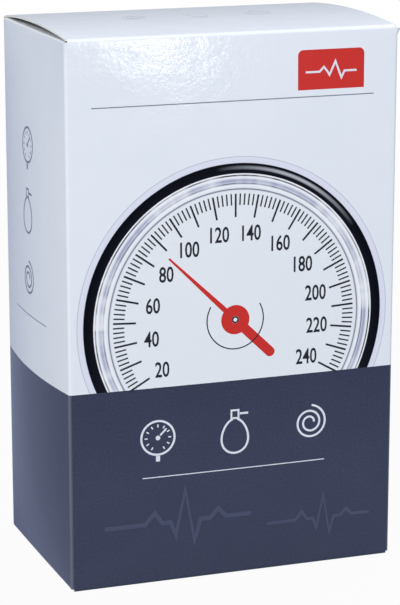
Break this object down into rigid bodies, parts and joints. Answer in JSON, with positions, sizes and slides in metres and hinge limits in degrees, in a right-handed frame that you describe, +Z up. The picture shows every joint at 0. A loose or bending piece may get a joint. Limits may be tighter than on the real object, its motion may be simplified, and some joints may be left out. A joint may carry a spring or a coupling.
{
  "type": "boxed aneroid sphygmomanometer",
  "caption": "Closed tuck-end folding carton for an aneroid blood pressure kit, with the gauge, inflation bulb, release valve and rolled arm cuff seated inside.",
  "frame": {"origin": "middle of the base of the closed carton, on the surface it stands on", "axes": "+X across the front panel to the right, +Y from the front panel to the back, +Z up"},
  "size_m": [0.133, 0.0816, 0.2048],
  "materials": {
    "printed_board": "coated white board with a printed dark band and a plain dial motif",
    "plain_board": "uncoated inner side of white folding board",
    "grey_board": "plain kraft-grey insert board",
    "case_paint": "satin black enamel",
    "brass": "machined, lightly lacquered",
    "capsule_metal": "thin rolled beryllium-copper look",
    "steel": "fine turned steel",
    "spring_steel": "blued spring steel",
    "dial_face": "matt white enamel with printed scale",
    "pointer_red": "satin red lacquer",
    "window": "clear, polished",
    "black_rubber": "matt moulded rubber",
    "chrome": "bright chrome plate",
    "cuff_cloth": "navy woven nylon",
    "hook_nylon": "black hook tape",
    "loop_nylon": "navy loop pile",
    "port_plastic": "moulded light grey"
  },
  "bodies": {
    "carton": {"front_panel": "printed_board", "back_panel": "printed_board", "left_panel": "printed_board", "right_panel": "printed_board", "glue_flap": "plain_board", "bottom_flap_front": "plain_board", "bottom_flap_back": "plain_board", "bottom_flap_left": "plain_board", "bottom_flap_right": "plain_board", "insert_deck": "grey_board", "insert_divider": "grey_board", "gauge_case": "case_paint", "hose_nipple": "brass", "capsule_stud": "brass", "capsule_lower": "capsule_metal", "capsule_upper": "capsule_metal", "movement_posts": "brass", "lower_plate": "brass", "upper_plate": "brass", "plate_pillars": "brass", "plate_screws": "steel", "hairspring": "spring_steel", "hairspring_stud": "brass", "dial_plate": "dial_face", "dial_screws": "steel", "crystal": "window", "crystal_gasket": "black_rubber", "bezel": "chrome", "bulb": "black_rubber", "intake_valve": "chrome", "intake_screen": "steel", "release_valve": "chrome", "valve_seal": "black_rubber", "cuff_cover": "cuff_cloth", "bladder": "black_rubber", "hook_patch": "hook_nylon", "loop_patch": "loop_nylon", "d_ring": "chrome", "bladder_ports": "port_plastic"},
    "lid": {"top_lid": "printed_board"},
    "tuck": {"tuck_flap": "plain_board"},
    "dust_left": {"dust_flap_left": "plain_board"},
    "dust_right": {"dust_flap_right": "plain_board"},
    "push_pin": {"capsule_pin": "steel"},
    "rocker": {"rocking_shaft": "steel"},
    "sector": {"sector_gear": "brass"},
    "pointer_arbor": {"pinion_arbor": "steel", "pointer": "pointer_red"},
    "knob": {"valve_knob": "chrome"},
    "needle": {"valve_needle": "steel"},
    "ball_in": {"intake_ball": "steel"},
    "ball_out": {"outlet_ball": "steel"}
  },
  "joints": [
    {"name": "lid_hinge", "type": "hinge", "parent": "carton", "child": "lid", "pos_m": [0, -0.0394, 0.2024], "axis": [1, 0, 0], "range_deg": [0, 175]},
    {"name": "tuck_fold", "type": "hinge", "parent": "lid", "child": "tuck", "pos_m": [0, 0.0385, 0.2024], "axis": [1, 0, 0], "range_deg": [0, 62]},
    {"name": "dust_fold_left", "type": "hinge", "parent": "carton", "child": "dust_left", "pos_m": [-0.0629, 0, 0.2016], "axis": [0, 1, 0], "range_deg": [0, 85]},
    {"name": "dust_fold_right", "type": "hinge", "parent": "carton", "child": "dust_right", "pos_m": [0.0629, 0, 0.2016], "axis": [0, -1, 0], "range_deg": [0, 85]},
    {"name": "sector_turn", "type": "hinge", "parent": "carton", "child": "sector", "pos_m": [0.0317, 0.018, 0.1396], "axis": [0, 0, 1], "range_deg": [0, 30.55]},
    {"name": "pointer_turn", "type": "hinge", "parent": "carton", "child": "pointer_arbor", "pos_m": [0.0317, 0, 0.1396], "axis": [0, 0, -1], "range_deg": [0, 336.01]},
    {"name": "rocker_tilt", "type": "hinge", "parent": "carton", "child": "rocker", "pos_m": [0.0326, 0, 0.1378], "axis": [0, 1, 0], "range_deg": [0, 23.7]},
    {"name": "capsule_lift", "type": "slide", "parent": "carton", "child": "push_pin", "axis": [0, 0, 1], "range_m": [0, 0.00185], "deforming": ["capsule_upper"]},
    {"name": "knob_turn", "type": "hinge", "parent": "carton", "child": "knob", "pos_m": [0.0317, 0, 0.11], "axis": [0, 0, 1], "range_deg": [0, 540]},
    {"name": "needle_rise", "type": "slide", "parent": "carton", "child": "needle", "axis": [0, 0, 1], "range_m": [0, 0.00076]},
    {"name": "intake_ball_lift", "type": "slide", "parent": "carton", "child": "ball_in", "axis": [0, 0, 1], "range_m": [0, 0.0008]},
    {"name": "outlet_ball_lift", "type": "slide", "parent": "carton", "child": "ball_out", "axis": [0, 0, 1], "range_m": [0, 0.0008]}
  ],
  "couplings": [
    {"joint": "tuck_fold", "follows": "lid_hinge", "ratio": 0.35},
    {"joint": "pointer_turn", "follows": "sector_turn", "ratio": 11},
    {"joint": "rocker_tilt", "follows": "sector_turn", "ratio": 0.77262},
    {"joint": "capsule_lift", "follows": "sector_turn", "m_per_rad": 0.0034514},
    {"joint": "needle_rise", "follows": "knob_turn", "m_per_rad": 0.000079577}
  ]
}
